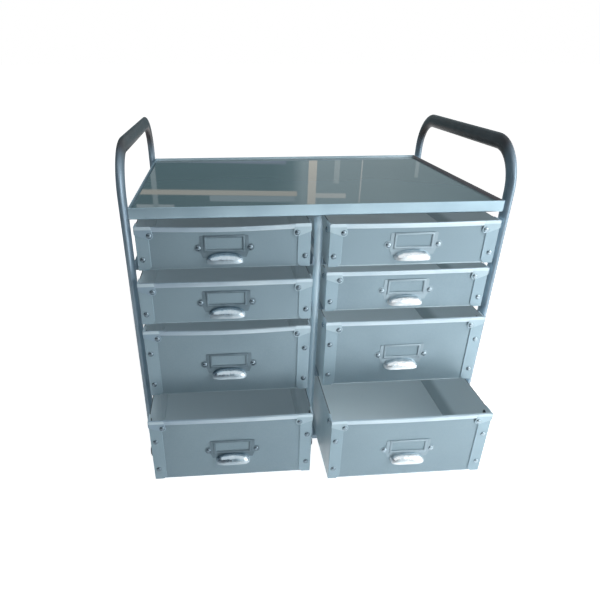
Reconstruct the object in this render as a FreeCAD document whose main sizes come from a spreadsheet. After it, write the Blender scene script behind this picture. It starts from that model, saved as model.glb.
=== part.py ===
import FreeCAD, Part
import os
import re
import Sketcher

# Storage cabinet with eight pull-out drawers in a bent steel tube frame.
# Two loops of oval tube are the sides and the carrying handles. A round tube
# loop parts the two columns of drawers. A tray of mitred steel angle on top
# holds a glass plate, and each drawer slides on a pair of angle runners.
# Frame: X to the right, Y to the back, Z up, origin on the floor under the
# middle of the cabinet with its drawers as they stand.

os.makedirs("parts", exist_ok=True)
doc = FreeCAD.newDocument("storage_cabinet")

# Driving dimensions in millimetres
sizes = [
    ("rim_height", 428, "top edge of the top rails above the floor"),
    ("top_width", 528, "top tray, outside"),
    ("top_depth", 392, "top tray, outside"),
    ("rail_leg", 16, "both legs of the top rail angle"),
    ("rail_sheet", 1.5, "thickness of the top rail angle"),
    ("glass_sheet", 5, "thickness of the glass plate"),
    ("glass_play", 1, "gap between the glass plate and the rails"),
    ("glass_bevel", 0.6, "ground edge of the glass plate"),
    ("backing_sheet", 5.5, "thickness of the board that the glass lies on"),
    ("backing_play", 1.4, "gap between the board and the rails"),
    ("backing_corner", 4, "cut corners of the board, clear of the welds"),
    ("tube_wide", 22, "oval side tube, front to back"),
    ("tube_thin", 12, "oval side tube, across"),
    ("tube_wall", 1.2, "wall of all tubes"),
    ("leg_setback", 6, "side leg centre behind the front of the top tray"),
    ("handle_rise", 71, "centre of the handle bar above the top rails"),
    ("handle_radius", 60, "bend of the side loop at the tube centre"),
    ("centre_tube", 12, "round tube between the columns, diameter"),
    ("centre_setback", 7, "centre leg behind the front of the top tray"),
    ("centre_radius", 24, "bend of the centre loop at the tube centre"),
    ("weld_gap", 0.3, "seam between pieces that are welded together"),
    ("foot_height", 12, "rubber foot that a leg stands on"),
    ("foot_lip", 2, "how far a foot stands out round its tube"),
    ("bar_size", 8, "side of the square cross bars between the legs"),
    ("bar_gap", 1.8, "between the cross bars and the lowest runners"),
    ("runner_sheet", 1.2, "thickness of the runner angle"),
    ("runner_width", 14, "flange of the runner under the drawer"),
    ("runner_rise", 14, "flange of the runner beside the drawer"),
    ("runner_setback", 3, "runner end behind the front of the top tray"),
    ("runner_play", 0.3, "gap between a drawer and its runner"),
    ("top_gap", 8.7, "between the top rails and the first drawer"),
    ("drawer_gap", 9.5, "between one drawer and the next"),
    ("small_drawer", 63, "height of the two upper rows"),
    ("tall_drawer", 112, "height of the two lower rows"),
    ("side_play", 5.5, "between a drawer and the side loops"),
    ("centre_play", 6.7, "between a drawer and the centre loop"),
    ("drawer_depth", 365, "front to back"),
    ("sheet", 1.6, "thickness of the drawer board"),
    ("flange", 18.5, "side board lapped over the front"),
    ("flange_chamfer", 5, "cut lower corner of the lap"),
    ("trim_sheet", 0.8, "thickness of the metal edge trim"),
    ("trim_drop", 6.4, "trim on the face of the drawer"),
    ("cap_corner_drop", 11, "corner cap at the corner"),
    ("cap_foot_drop", 16.4, "corner cap at its lobe"),
    ("cap_stud_inset", 19.6, "cap stud from the side of the drawer"),
    ("cap_stud_drop", 12.6, "cap stud below the top of the drawer"),
    ("cap_lobe", 5.6, "radius of the cap round its stud"),
    ("stud_head", 8, "diameter of a stud"),
    ("stud_rise", 2.3, "how far a stud stands out"),
    ("lap_stud_inset", 7.4, "lap stud from the side of the drawer"),
    ("small_stud_drop", 47, "lap stud of an upper drawer"),
    ("tall_stud_drop", 38, "first lap stud of a lower drawer"),
    ("low_stud_drop", 92, "second lap stud of a lower drawer"),
    ("plate_width", 69, "label holder"),
    ("plate_height", 32, "label holder"),
    ("plate_sheet", 0.8, "thickness of the label holder"),
    ("plate_foot", 62, "label holder along its lower edge"),
    ("plate_drop_small", 15, "label holder below the top, upper drawers"),
    ("plate_drop_tall", 43.5, "label holder below the top, lower drawers"),
    ("window_width", 51, "opening of the label holder"),
    ("window_height", 17, "opening of the label holder"),
    ("window_drop", 3.2, "opening below the edge of the label holder"),
    ("ear_spread", 73.6, "between the studs of the label holder"),
    ("ear_drop", 17.4, "studs below the edge of the label holder"),
    ("ear_radius", 5.6, "ear round each stud"),
    ("cup_width", 53, "finger cup"),
    ("cup_rise", 13.5, "finger cup, up the plate and out to the front alike"),
    ("cup_drop", 24, "crown of the cup below the edge of the holder"),
    ("left_top_open", 3.9, "how far this drawer stands open"),
    ("left_second_open", 30.4, "how far this drawer stands open"),
    ("left_third_open", 33.8, "how far this drawer stands open"),
    ("left_bottom_open", 89.8, "how far this drawer stands open"),
    ("right_top_open", 12, "how far this drawer stands open"),
    ("right_second_open", 7.6, "how far this drawer stands open"),
    ("right_third_open", 27, "how far this drawer stands open"),
    ("right_bottom_open", 110.9, "how far this drawer stands open"),
]
sheet = doc.addObject("Spreadsheet::Sheet", "Sizes")
for row, (alias, number, meaning) in enumerate(sizes, start=1):
    sheet.set(f"A{row}", alias)
    sheet.set(f"B{row}", str(number))
    sheet.set(f"C{row}", meaning)
    sheet.setAlias(f"B{row}", alias)
doc.recompute()
aliases = {alias for alias, number, meaning in sizes}

# Places that several pieces share, written in the sizes above
REACH_FRONT = "(right_bottom_open + cup_rise - sheet)"
REACH_BACK = "(top_depth - leg_setback + tube_wide / 2 + foot_lip)"
FRONT = f"({REACH_FRONT} - {REACH_BACK}) / 2"
RAIL_FOOT = "(rim_height - rail_leg)"
SIDE_LEG_X = "(top_width / 2 + weld_gap + tube_thin / 2)"
BAY_IN = "(centre_tube / 2 + centre_play)"
BAY_OUT = "(top_width / 2 - side_play)"
DRAWER_WIDTH = f"({BAY_OUT} - {BAY_IN})"

# Turn about X that lays an upright piece with its top towards the front
FACING_FRONT = FreeCAD.Rotation(FreeCAD.Vector(1, 0, 0), 90)


def bound(text):
    """Name the sheet before each size in the text."""
    def with_sheet(word):
        return "Sizes." + word[0] if word[0] in aliases else word[0]
    return re.sub(r"[a-z_]+", with_sheet, text)


def length(text):
    """Present value of a text of sizes."""
    return float(sheet.evalExpression(bound(text)))


def place(piece, x="0", y="0", z="0", turn=None):
    """Put a piece where the sizes say, turned first where a turn is given."""
    if turn:
        piece.Placement = FreeCAD.Placement(FreeCAD.Vector(), turn)
    for axis, text in (("x", x), ("y", y), ("z", z)):
        piece.setExpression(f"Placement.Base.{axis}", bound(text))
    return piece


def new_body(label):
    """Body of one sub-part, with the label that names its file."""
    body = doc.addObject("PartDesign::Body", label)
    body.Label = label
    return body


def new_sketch(body, plane, offset="0"):
    """Sketch on a main plane of the body, or parallel to it."""
    sketch = body.newObject("Sketcher::SketchObject", body.Name + "_sketch")
    main = [item for item in body.Origin.OriginFeatures if item.Role == plane][0]
    sketch.AttachmentSupport = (main, [""])
    sketch.MapMode = "FlatFace"
    sketch.setExpression("AttachmentOffset.Base.z", bound(offset))
    return sketch


def fix_point(sketch, geometry, position, x, y):
    """Hold one point of a sketch at two distances from its origin."""
    for kind, text in (("DistanceX", x), ("DistanceY", y)):
        rule = Sketcher.Constraint(kind, -1, 1, geometry, position, length(text))
        number = sketch.addConstraint(rule)
        sketch.setExpression(f"Constraints[{number}]", bound(text))


def draw_outline(sketch, corners):
    """Closed outline with straight sides through corners given in sizes."""
    points = [FreeCAD.Vector(length(x), length(y), 0) for x, y in corners]
    first = sketch.GeometryCount
    for start, end in zip(points, points[1:] + points[:1]):
        sketch.addGeometry(Part.LineSegment(start, end))
    for number, (x, y) in enumerate(corners):
        before = first + (number - 1) % len(corners)
        sketch.addConstraint(Sketcher.Constraint("Coincident", before, 2, first + number, 1))
        fix_point(sketch, first + number, 1, x, y)


def draw_box(sketch, left, right, low, high):
    """Closed rectangle."""
    draw_outline(sketch, [(left, low), (right, low), (right, high), (left, high)])


def extrude(body, kind, sketch, depth, backwards=False):
    """Pad or pocket a sketch to a depth given in sizes."""
    feature = body.newObject("PartDesign::" + kind, f"{body.Name}_{kind}")
    feature.Profile = sketch
    feature.Reversed = backwards
    feature.setExpression("Length", bound(depth))
    body.Tip = feature
    return feature


def oval_prism(name, wide, thin, foot, height, x, y):
    """Upright prism on an ellipse, its wide way front to back."""
    ellipse = doc.addObject("Part::Ellipse", name + "_oval")
    ellipse.setExpression("MajorRadius", bound(f"({wide}) / 2"))
    ellipse.setExpression("MinorRadius", bound(f"({thin}) / 2"))
    place(ellipse, x, y, foot, FreeCAD.Rotation(FreeCAD.Vector(0, 0, 1), 90))
    prism = doc.addObject("Part::Extrusion", name)
    prism.Base = ellipse
    prism.DirMode = "Custom"
    prism.Dir = FreeCAD.Vector(0, 0, 1)
    prism.Solid = True
    prism.setExpression("LengthFwd", bound(height))
    return prism


def join(label, pieces):
    """One solid of several that meet."""
    whole = doc.addObject("Part::MultiFuse", label)
    whole.Shapes = pieces
    whole.Label = label
    return whole


def subtract(label, base, tool):
    """One solid less another."""
    whole = doc.addObject("Part::Cut", label)
    whole.Base = base
    whole.Tool = tool
    whole.Label = label
    return whole


def group(label, pieces):
    """Separate solids that share one node."""
    whole = doc.addObject("Part::Compound", label)
    whole.Links = pieces
    whole.Label = label
    return whole


subparts = []

# Tube loops: a front leg, a bend, a bar to the back, a bend and a back leg


def tube_section(name, wide, thin, x, y, z, tilt):
    """Ellipse across the tube, its wide way in the plane of the loop."""
    section = doc.addObject("Part::Ellipse", name)
    section.setExpression("MajorRadius", bound(f"({wide}) / 2"))
    section.setExpression("MinorRadius", bound(f"({thin}) / 2"))
    lean = FreeCAD.Rotation(FreeCAD.Vector(1, 0, 0), -tilt)
    along = FreeCAD.Rotation(FreeCAD.Vector(0, 0, 1), 90)
    return place(section, x, y, z, lean.multiply(along))


def tube_solid(name, x, setback, top, radius, steps, wide, thin):
    """Solid through sections at both feet and at equal steps round each bend."""
    near = f"{FRONT} + {setback}"
    far = f"{FRONT} + top_depth - {setback}"
    springing = f"{top} - {radius}"
    sections = [tube_section(name, wide, thin, x, near, "foot_height", 0)]
    for step in range(steps + 1):
        tilt = 90 * step / steps
        sections.append(tube_section(
            name, wide, thin, x, f"{near} + {radius} * (1 - cos({tilt}))",
            f"{springing} + {radius} * sin({tilt})", tilt))
    for step in range(steps + 1):
        tilt = 90 * step / steps
        sections.append(tube_section(
            name, wide, thin, x, f"{far} - {radius} * (1 - sin({tilt}))",
            f"{springing} + {radius} * cos({tilt})", 90 + tilt))
    sections.append(tube_section(name, wide, thin, x, far, "foot_height", 180))
    solid = doc.addObject("Part::Loft", name + "_solid")
    solid.Sections = sections
    solid.Solid = True
    solid.Ruled = True
    return solid


def tube_loop(label, x, setback, top, radius, steps, wide, thin):
    """Hollow bent tube."""
    outside = tube_solid(label + "_outside", x, setback, top, radius, steps, wide, thin)
    inside = tube_solid(label + "_inside", x, setback, top, radius, steps,
                        f"{wide} - 2 * tube_wall", f"{thin} - 2 * tube_wall")
    subparts.append(subtract(label, outside, inside))


HANDLE_TOP = "(rim_height + handle_rise)"
CENTRE_TOP = f"({RAIL_FOOT} - weld_gap - centre_tube / 2)"
for side, sign in (("left", "-"), ("right", "")):
    tube_loop("side_loop_" + side, sign + SIDE_LEG_X, "leg_setback", HANDLE_TOP,
              "handle_radius", 4, "tube_wide", "tube_thin")
tube_loop("centre_loop", "0", "centre_setback", CENTRE_TOP,
          "centre_radius", 2, "centre_tube", "centre_tube")

# Rubber feet under the six legs


def foot(label, x, y, wide, thin):
    """Plain block a little larger than the tube that stands on it."""
    block = oval_prism(label, f"{wide} + 2 * foot_lip", f"{thin} + 2 * foot_lip",
                       "0", "foot_height", x, y)
    block.Label = label
    subparts.append(block)


for end, side_y, centre_y in (
        ("front", f"{FRONT} + leg_setback", f"{FRONT} + centre_setback"),
        ("back", f"{FRONT} + top_depth - leg_setback", f"{FRONT} + top_depth - centre_setback")):
    foot(end + "_left_foot", "-" + SIDE_LEG_X, side_y, "tube_wide", "tube_thin")
    foot(end + "_centre_foot", "0", centre_y, "centre_tube", "centre_tube")
    foot(end + "_right_foot", SIDE_LEG_X, side_y, "tube_wide", "tube_thin")

# Top tray: four mitred angles, their flanges turned in under the glass


def top_rail(label, run, turn, x, y):
    """Angle with mitred ends; its outer face is local y = 0."""
    rail = new_body(label)
    for reach, height in (("rail_leg", "rail_sheet"), ("rail_sheet", "rail_leg")):
        profile = new_sketch(rail, "XY_Plane")
        draw_outline(profile, [
            (f"-{run} / 2", "0"),
            (f"{run} / 2", "0"),
            (f"{run} / 2 - {reach}", reach),
            (f"-({run} / 2 - {reach})", reach)])
        extrude(rail, "Pad", profile, height)
    place(rail, x, y, RAIL_FOOT, FreeCAD.Rotation(FreeCAD.Vector(0, 0, 1), turn))
    subparts.append(rail)


MIDDLE_Y = f"{FRONT} + top_depth / 2"
top_rail("top_front_rail", "top_width", 0, "0", FRONT)
top_rail("top_back_rail", "top_width", 180, "0", f"{FRONT} + top_depth")
top_rail("top_left_rail", "top_depth", -90, "-top_width / 2", MIDDLE_Y)
top_rail("top_right_rail", "top_depth", 90, "top_width / 2", MIDDLE_Y)

# Glass plate with a ground edge, on a dark board that lies on the flanges
GLASS_FOOT = f"({RAIL_FOOT} + rail_sheet + backing_sheet)"
glass = new_body("glass_top")
HALF_GLASS_X = "(top_width / 2 - rail_sheet - glass_play)"
HALF_GLASS_Y = "(top_depth / 2 - rail_sheet - glass_play)"
glass_outline = new_sketch(glass, "XY_Plane")
draw_box(glass_outline, "-" + HALF_GLASS_X, HALF_GLASS_X, "-" + HALF_GLASS_Y, HALF_GLASS_Y)
glass_plate = extrude(glass, "Pad", glass_outline, "glass_sheet")
doc.recompute()
ground_edge = glass.newObject("PartDesign::Chamfer", "ground_edge")
ground_edge.Base = (glass_plate, ["Face6"])
ground_edge.setExpression("Size", bound("glass_bevel"))
glass.Tip = ground_edge
place(glass, "0", MIDDLE_Y, GLASS_FOOT)
subparts.append(glass)

backing = new_body("glass_backing")
HALF_BOARD_X = "(top_width / 2 - rail_sheet - backing_play)"
HALF_BOARD_Y = "(top_depth / 2 - rail_sheet - backing_play)"
board_outline = new_sketch(backing, "XY_Plane")
draw_outline(board_outline, [
    (f"{x} * ({HALF_BOARD_X} - {cut_x})", f"{y} * ({HALF_BOARD_Y} - {cut_y})")
    for x, y, cut_x, cut_y in (
        (-1, -1, "backing_corner", 0), (1, -1, "backing_corner", 0),
        (1, -1, 0, "backing_corner"), (1, 1, 0, "backing_corner"),
        (1, 1, "backing_corner", 0), (-1, 1, "backing_corner", 0),
        (-1, 1, 0, "backing_corner"), (-1, -1, 0, "backing_corner"))])
extrude(backing, "Pad", board_outline, "backing_sheet")
place(backing, "0", MIDDLE_Y, f"{RAIL_FOOT} + rail_sheet")
subparts.append(backing)

# Rows of drawers from the top down: name, height, label holder, lap studs
rows = [
    ("top", "small_drawer", "plate_drop_small", ["small_stud_drop"]),
    ("second", "small_drawer", "plate_drop_small", ["small_stud_drop"]),
    ("third", "tall_drawer", "plate_drop_tall", ["tall_stud_drop", "low_stud_drop"]),
    ("bottom", "tall_drawer", "plate_drop_tall", ["tall_stud_drop", "low_stud_drop"]),
]
levels = {}
level = f"{RAIL_FOOT} - top_gap"
for name, height, plate_drop, stud_drops in rows:
    levels[name] = f"({level} - {height})"
    level = f"{levels[name]} - drawer_gap"
RUNNER_FOOT = {name: f"({levels[name]} - runner_play - runner_sheet)" for name in levels}

# Cross bars low between the legs, one half on each side of the centre leg


def cross_bar(label, middle_y):
    """Two square bars in line."""
    halves = []
    for side in ("left", "right"):
        bar = doc.addObject("Part::Box", f"{label}_{side}")
        bar.setExpression("Length", bound("top_width / 2 - centre_tube / 2 - weld_gap"))
        bar.setExpression("Width", bound("bar_size"))
        bar.setExpression("Height", bound("bar_size"))
        start = "-top_width / 2" if side == "left" else "centre_tube / 2 + weld_gap"
        place(bar, start, f"{middle_y} - bar_size / 2",
              f"{RUNNER_FOOT['bottom']} - bar_gap - bar_size")
        halves.append(bar)
    subparts.append(group(label, halves))


cross_bar("bottom_front_bars", f"{FRONT} + centre_setback")
cross_bar("bottom_back_bars", f"{FRONT} + top_depth - centre_setback")

# Angle runners, one under each side of each drawer


def runner(name, wall, inward, foot):
    """Angle whose upright stands at the wall and whose flange points inward."""
    profile = new_body(name)
    sketch = new_sketch(profile, "XZ_Plane")
    draw_outline(sketch, [
        ("0", "0"),
        (f"{inward}runner_width", "0"),
        (f"{inward}runner_width", "runner_sheet"),
        (f"{inward}runner_sheet", "runner_sheet"),
        (f"{inward}runner_sheet", "runner_rise"),
        ("0", "runner_rise")])
    extrude(profile, "Pad", sketch, "top_depth - 2 * runner_setback", backwards=True)
    return place(profile, wall, f"{FRONT} + runner_setback", foot)


CENTRE_WALL = "(centre_tube / 2 + weld_gap)"
runner_sets = {
    "left_runners": [("-top_width / 2", "")],
    "centre_runners": [("-" + CENTRE_WALL, "-"), (CENTRE_WALL, "")],
    "right_runners": [("top_width / 2", "-")],
}
for label, walls in runner_sets.items():
    runners = []
    for name in levels:
        for wall, inward in walls:
            runners.append(runner(f"{label}_{name}", wall, inward, RUNNER_FOOT[name]))
    subparts.append(group(label, runners))

# Drawers, each in its own frame: x from its left side, y from the face of
# the laps towards the back, z from its underside


def drawer_tray(label, height):
    """Bottom, sides and back of one folded board, lapped over the front."""
    tray = new_body(label)
    board = f"({height} - trim_sheet)"
    outside = new_sketch(tray, "XY_Plane")
    draw_box(outside, "0", DRAWER_WIDTH, "0", "drawer_depth")
    extrude(tray, "Pad", outside, board)
    inside = new_sketch(tray, "XY_Plane", board)
    draw_box(inside, "sheet", f"{DRAWER_WIDTH} - sheet", "sheet", "drawer_depth - sheet")
    extrude(tray, "Pocket", inside, f"{board} - sheet")
    front = new_sketch(tray, "XZ_Plane")
    draw_outline(front, [
        ("flange", board),
        ("flange", "flange_chamfer"),
        ("flange - flange_chamfer", "0"),
        (f"{DRAWER_WIDTH} - flange + flange_chamfer", "0"),
        (f"{DRAWER_WIDTH} - flange", "flange_chamfer"),
        (f"{DRAWER_WIDTH} - flange", board)])
    extrude(tray, "Pocket", front, "sheet")
    return tray


def drawer_front(label, height):
    """Front board behind the laps."""
    front = new_body(label)
    face = new_sketch(front, "XZ_Plane", "-sheet")
    draw_box(face, "sheet", f"{DRAWER_WIDTH} - sheet", "sheet", f"{height} - trim_sheet")
    extrude(front, "Pad", face, "sheet", backwards=True)
    return front


def edge_trim(label, height):
    """Metal strip folded over the front edge, with a cap round each corner."""
    trim = new_body(label)
    top = f"({height} - trim_sheet)"
    right = DRAWER_WIDTH
    half = [
        ("-trim_sheet", "trim_sheet"),
        ("-trim_sheet", "cap_corner_drop"),
        ("cap_stud_inset - cap_lobe", "cap_foot_drop"),
        ("cap_stud_inset", "cap_stud_drop + cap_lobe"),
        ("cap_stud_inset + cap_lobe", "cap_stud_drop + cap_lobe / 2"),
        ("cap_stud_inset + cap_lobe", "trim_drop"),
    ]
    strip = new_sketch(trim, "XZ_Plane")
    left = [(x, f"{height} - ({drop})") for x, drop in half]
    draw_outline(strip, left + [(f"{right} - ({x})", z) for x, z in reversed(left)])
    extrude(trim, "Pad", strip, "trim_sheet")

    hem = new_sketch(trim, "XZ_Plane")
    draw_box(hem, "flange", f"{right} - flange", f"{height} - trim_drop", top)
    extrude(trim, "Pad", hem, "sheet", backwards=True)

    cover = new_sketch(trim, "XY_Plane", top)
    draw_outline(cover, [
        ("-trim_sheet", "-trim_sheet"),
        (f"{right} + trim_sheet", "-trim_sheet"),
        (f"{right} + trim_sheet", "cap_stud_inset"),
        (f"{right} - sheet", "cap_stud_inset"),
        (f"{right} - sheet", "2 * sheet + trim_sheet"),
        ("sheet", "2 * sheet + trim_sheet"),
        ("sheet", "cap_stud_inset"),
        ("-trim_sheet", "cap_stud_inset")])
    extrude(trim, "Pad", cover, "trim_sheet")

    back = new_sketch(trim, "XZ_Plane", "-2 * sheet")
    draw_box(back, "sheet", f"{right} - sheet", f"{height} - trim_drop", top)
    extrude(trim, "Pad", back, "trim_sheet", backwards=True)

    for wall, backwards in (("0", True), (right, False)):
        cap = new_sketch(trim, "YZ_Plane", wall)
        draw_outline(cap, left[:-1] + [("cap_stud_inset + cap_lobe", top)])
        extrude(trim, "Pad", cap, "trim_sheet", backwards)
    return trim


def stud(name, x, y, z, turn):
    """Head of a rivet on a surface, with eight sides."""
    head = doc.addObject("Part::Prism", name)
    head.Polygon = 8
    head.setExpression("Circumradius", bound("stud_head / 2"))
    head.setExpression("Height", bound("stud_rise"))
    return place(head, x, y, z, turn)


# Half outline of the cup seen from the front, as shares of its half width
# and of its rise, and the share of the rise that its chamfer takes
cup_outline_shares = [(1, 0), (0.93, 0.5), (0.78, 0.82), (0.45, 1)]
cup_chamfer_share = 0.59


def cup_solid(name, thinner):
    """Block on the whole outline, chamfered in front, thinner all round."""
    upper = [(f"{share} * (cup_width / 2 - {thinner})", f"{rise_share} * (cup_rise - {thinner})")
             for share, rise_share in cup_outline_shares]
    outline = upper + [("-" + x, z) for x, z in reversed(upper)]
    outline += [("-" + x, "-" + z) for x, z in upper[1:]]
    outline += [(x, "-" + z) for x, z in reversed(upper[1:])]
    bowl = new_body(name)
    face = new_sketch(bowl, "XZ_Plane")
    draw_outline(face, outline)
    block = extrude(bowl, "Pad", face, f"cup_rise - {thinner}")
    doc.recompute()
    dome = bowl.newObject("PartDesign::Chamfer", name + "_dome")
    dome.Base = (block, [f"Face{len(outline) + 2}"])
    dome.setExpression("Size", bound(f"{cup_chamfer_share} * (cup_rise - {thinner})"))
    bowl.Tip = dome
    return bowl


def finger_cup(name):
    """Upper half of the chamfered block, hollow, open below and behind."""
    shell = subtract(name + "_shell", cup_solid(name + "_outside", "0"),
                     cup_solid(name + "_inside", "plate_sheet"))
    quarter = doc.addObject("Part::Box", name + "_quarter")
    quarter.setExpression("Length", bound("cup_width"))
    quarter.setExpression("Width", bound("cup_rise"))
    quarter.setExpression("Height", bound("cup_rise"))
    place(quarter, "-cup_width / 2", "-cup_rise")
    cup = doc.addObject("Part::Common", name)
    cup.Base = shell
    cup.Tool = quarter
    return cup


def label_pull(label, height, plate_drop):
    """Label holder with two ears and a finger cup, pressed from one sheet."""
    middle = f"({DRAWER_WIDTH} / 2)"
    top = f"({height} - {plate_drop})"
    plate = new_body(label + "_plate")
    face = new_sketch(plate, "XZ_Plane", "-sheet")
    half = [
        ("plate_width / 2", "0"),
        ("plate_width / 2", "ear_drop - ear_radius"),
        ("ear_spread / 2 + ear_radius / 2", "ear_drop - ear_radius"),
        ("ear_spread / 2 + ear_radius", "ear_drop - ear_radius / 2"),
        ("ear_spread / 2 + ear_radius", "ear_drop + ear_radius / 2"),
        ("ear_spread / 2 + ear_radius / 2", "ear_drop + ear_radius"),
        ("plate_width / 2", "ear_drop + ear_radius"),
        ("plate_foot / 2", "plate_height"),
    ]
    right = [(f"{middle} + {x}", f"{top} - {drop}") for x, drop in half]
    left = [(f"{middle} - ({x})", f"{top} - {drop}") for x, drop in reversed(half)]
    draw_outline(face, right + left)
    draw_box(face, f"{middle} - window_width / 2", f"{middle} + window_width / 2",
             f"{top} - window_drop - window_height", f"{top} - window_drop")
    extrude(plate, "Pad", face, "plate_sheet")

    cup = finger_cup(label + "_cup")
    place(cup, middle, "sheet", f"{top} - cup_drop - cup_rise")
    return join(label, [plate, cup])


for column in ("left", "right"):
    corner_x = "-" + BAY_OUT if column == "left" else BAY_IN
    for row, height, plate_drop, stud_drops in rows:
        drawer = f"{column}_{row}"
        corner_y = f"{FRONT} - {drawer}_open"
        corner_z = levels[row]
        pieces = [
            drawer_tray(drawer + "_drawer_tray", height),
            drawer_front(drawer + "_drawer_front", height),
            edge_trim(drawer + "_edge_trim", height),
            label_pull(drawer + "_label_pull", height, plate_drop),
        ]
        studs = []
        for side, inset, wall, sideways in (
                ("left", "", "-trim_sheet", -90),
                ("right", f"{DRAWER_WIDTH} - ", f"{DRAWER_WIDTH} + trim_sheet", 90)):
            cap_z = f"{height} - cap_stud_drop"
            name = f"{drawer}_{side}_stud"
            turned = FreeCAD.Rotation(FreeCAD.Vector(0, 1, 0), sideways)
            studs.append(stud(name, inset + "cap_stud_inset", "-trim_sheet", cap_z, FACING_FRONT))
            studs.append(stud(name, wall, "cap_stud_inset", cap_z, turned))
            for drop in stud_drops:
                studs.append(stud(name, inset + "lap_stud_inset", "0", f"{height} - {drop}",
                                  FACING_FRONT))
        for way in ("-", "+"):
            studs.append(stud(drawer + "_label_stud", f"{DRAWER_WIDTH} / 2 {way} ear_spread / 2",
                              "sheet - plate_sheet", f"{height} - {plate_drop} - ear_drop",
                              FACING_FRONT))
        pieces.append(group(drawer + "_studs", studs))
        for piece in pieces:
            place(piece, corner_x, corner_y, corner_z)
            subparts.append(piece)

doc.recompute()

# Every object has to be sound before anything is written
for item in doc.Objects:
    if "Invalid" in item.State or "Error" in item.State:
        raise RuntimeError(f"{item.Name} failed: {item.State}")
for piece in subparts:
    if piece.Shape.isNull() or not piece.Shape.isValid():
        raise RuntimeError(f"{piece.Label} has no valid shape")
for piece in subparts:
    piece.Shape.exportStep(f"parts/{piece.Label}.step")
print(len(subparts), "sub-parts written")
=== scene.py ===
import math

import bmesh
import bpy
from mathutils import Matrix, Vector


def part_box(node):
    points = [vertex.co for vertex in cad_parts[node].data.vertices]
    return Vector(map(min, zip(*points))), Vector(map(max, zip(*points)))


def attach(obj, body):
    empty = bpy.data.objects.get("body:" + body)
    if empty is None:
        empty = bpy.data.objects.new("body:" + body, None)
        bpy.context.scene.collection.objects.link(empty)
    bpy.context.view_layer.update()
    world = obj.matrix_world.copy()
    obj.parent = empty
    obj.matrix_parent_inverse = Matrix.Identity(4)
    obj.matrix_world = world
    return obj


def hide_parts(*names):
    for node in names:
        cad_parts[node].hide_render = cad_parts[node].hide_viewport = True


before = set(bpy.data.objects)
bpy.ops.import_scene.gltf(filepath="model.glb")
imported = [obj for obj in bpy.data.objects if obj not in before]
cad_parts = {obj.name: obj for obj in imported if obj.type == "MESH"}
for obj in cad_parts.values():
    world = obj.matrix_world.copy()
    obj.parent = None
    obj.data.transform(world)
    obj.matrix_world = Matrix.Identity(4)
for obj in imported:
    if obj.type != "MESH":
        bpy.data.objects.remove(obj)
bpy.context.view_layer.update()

# Side loops: two hoops of 12 by 22 mm oval steel tube, legs and carrying
# handles in one, in a metallic paint that hands have darkened along the bar.
# They leave no mirror image in the glass.
mm = 0.001
SIDE_BEND = 60 * mm
SIDE_HALF_WIDE = 11 * mm
BEND_STEPS = 18
TUBE_SIDES = 36
HELD_Z = (0.43, 0.475)  # where the darkened part begins, and where it is full
HELD_Y = (-0.136, -0.098)


def srgb(red, green, blue):
    """Colour as it looks on a screen, from 0 to 255, in the values a shader takes."""
    shares = [value / 255 for value in (red, green, blue)]
    linear = [s / 12.92 if s <= 0.04045 else ((s + 0.055) / 1.055) ** 2.4 for s in shares]
    return (*linear, 1)


def new_finish(name, values):
    """Material whose constant values sit on the shader's own sockets."""
    finish = bpy.data.materials.new(name)
    finish.use_nodes = True
    tree = finish.node_tree
    shader = tree.nodes["Principled BSDF"]
    for socket, value in values.items():
        shader.inputs[socket].default_value = value
    return finish, tree, shader


def grain(tree, scale, detail=2, stretch=(1, 1, 1)):
    """Noise that is fixed to the piece."""
    coordinates = tree.nodes.new("ShaderNodeTexCoord")
    mapping = tree.nodes.new("ShaderNodeMapping")
    mapping.inputs["Scale"].default_value = stretch
    noise = tree.nodes.new("ShaderNodeTexNoise")
    noise.inputs["Scale"].default_value = scale
    noise.inputs["Detail"].default_value = detail
    tree.links.new(coordinates.outputs["Object"], mapping.inputs["Vector"])
    tree.links.new(mapping.outputs["Vector"], noise.inputs["Vector"])
    return noise.outputs["Fac"]


def between(tree, value, low, high, low_at=0.3, high_at=0.7):
    """Colour that runs from one to another with a value."""
    ramp = tree.nodes.new("ShaderNodeValToRGB")
    ramp.color_ramp.elements[0].position = low_at
    ramp.color_ramp.elements[0].color = low
    ramp.color_ramp.elements[1].position = high_at
    ramp.color_ramp.elements[1].color = high
    tree.links.new(value, ramp.inputs["Fac"])
    return ramp.outputs["Color"]


def spread(tree, value, low, high, low_at=0.3, high_at=0.7):
    """Number that runs from one to another with a value."""
    scale = tree.nodes.new("ShaderNodeMapRange")
    scale.interpolation_type = "SMOOTHSTEP"
    for socket, number in (("From Min", low_at), ("From Max", high_at),
                           ("To Min", low), ("To Max", high)):
        scale.inputs[socket].default_value = number
    tree.links.new(value, scale.inputs["Value"])
    return scale.outputs["Result"]


def mixed(tree, amount, first, second):
    """Two colours mixed by a value."""
    mix = tree.nodes.new("ShaderNodeMix")
    mix.data_type = "RGBA"
    tree.links.new(amount, mix.inputs["Factor"])
    for colour, socket in ((first, mix.inputs[6]), (second, mix.inputs[7])):
        if isinstance(colour, bpy.types.NodeSocket):
            tree.links.new(colour, socket)
        else:
            socket.default_value = colour
    return mix.outputs[2]


def product(tree, first, second):
    """Two values multiplied."""
    both = tree.nodes.new("ShaderNodeMath")
    both.operation = "MULTIPLY"
    tree.links.new(first, both.inputs[0])
    tree.links.new(second, both.inputs[1])
    return both.outputs["Value"]


def along(tree, axis, kind="Object"):
    """Place of a point along X, Y or Z, in metres, or in shares of its piece if Generated."""
    coordinates = tree.nodes.new("ShaderNodeTexCoord")
    parts = tree.nodes.new("ShaderNodeSeparateXYZ")
    tree.links.new(coordinates.outputs[kind], parts.inputs["Vector"])
    return parts.outputs[axis]


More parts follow.
